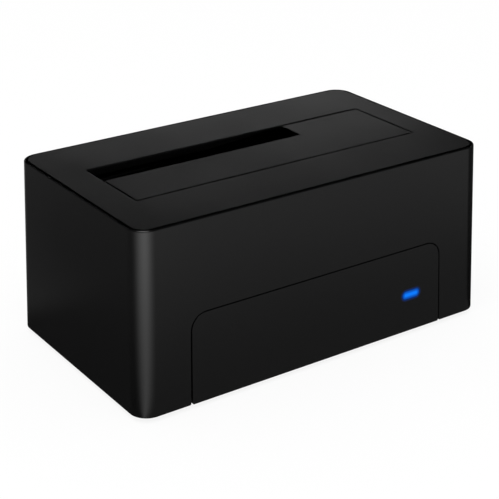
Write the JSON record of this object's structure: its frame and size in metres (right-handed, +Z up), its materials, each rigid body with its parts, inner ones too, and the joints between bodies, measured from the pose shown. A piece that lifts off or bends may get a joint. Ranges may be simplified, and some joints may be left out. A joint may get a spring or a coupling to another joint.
{
  "type": "hard drive docking station",
  "caption": "Black box-shaped dock that holds an upright hard drive: sprung L-shaped flap over the bay, notch for a small drive, lit front window, rear sockets and rocker switch.",
  "frame": {"origin": "on the surface that the feet stand on, under the middle of the housing", "axes": "+X to the right along the width, +Y from the front to the back, +Z up"},
  "size_m": [0.1342, 0.0788, 0.0605],
  "materials": {
    "housing_black": "fine matt texture",
    "inner_black": "matt moulded",
    "connector_black": "satin moulded",
    "rocker_black": "satin",
    "steel": "zinc plated",
    "socket_metal": "nickel plated",
    "can_metal": "satin",
    "gold_contact": "gold plated",
    "rubber": "matt",
    "board_green": "solder mask",
    "chip_black": "matt moulded",
    "socket_blue": "satin",
    "lamp_blue": "lit from behind",
    "ceramic": "satin"
  },
  "bodies": {
    "base": {"outer_shell": "housing_black", "top_cover": "housing_black", "hinge_pin": "steel", "spring_coils": "steel", "drive_well": "inner_black", "front_panel": "housing_black", "rear_panel": "housing_black", "bottom_tray": "inner_black", "rubber_feet": "rubber", "case_screws": "steel", "well_screws": "steel", "cover_screws": "steel", "main_board": "board_green", "board_screws": "steel", "sata_connector": "connector_black", "sata_contacts": "gold_contact", "usb_shell": "socket_metal", "usb_insulator": "socket_blue", "dc_jack_body": "connector_black", "dc_jack_pin": "socket_metal", "switch_body": "connector_black", "switch_terminals": "socket_metal", "light_pipe": "lamp_blue", "led_chip": "ceramic", "bridge_chip": "chip_black", "flash_chip": "chip_black", "crystal_can": "can_metal", "inductors": "chip_black", "capacitors": "can_metal", "small_passives": "ceramic"},
    "flap": {"flap_door": "housing_black", "spring_arms": "steel"},
    "rocker": {"power_rocker": "rocker_black"}
  },
  "joints": [
    {"name": "flap_hinge", "type": "hinge", "parent": "base", "child": "flap", "pos_m": [0.0005, -0.0143, 0.0585], "axis": [-1, 0, 0], "range_deg": [0, 90], "stiffness_Nm_per_rad": 0.004, "springref_deg": -45.84},
    {"name": "rocker_pivot", "type": "hinge", "parent": "base", "child": "rocker", "pos_m": [0.032, 0.0348, 0.0139], "axis": [0, 0, 1], "range_deg": [-22, 0]}
  ]
}
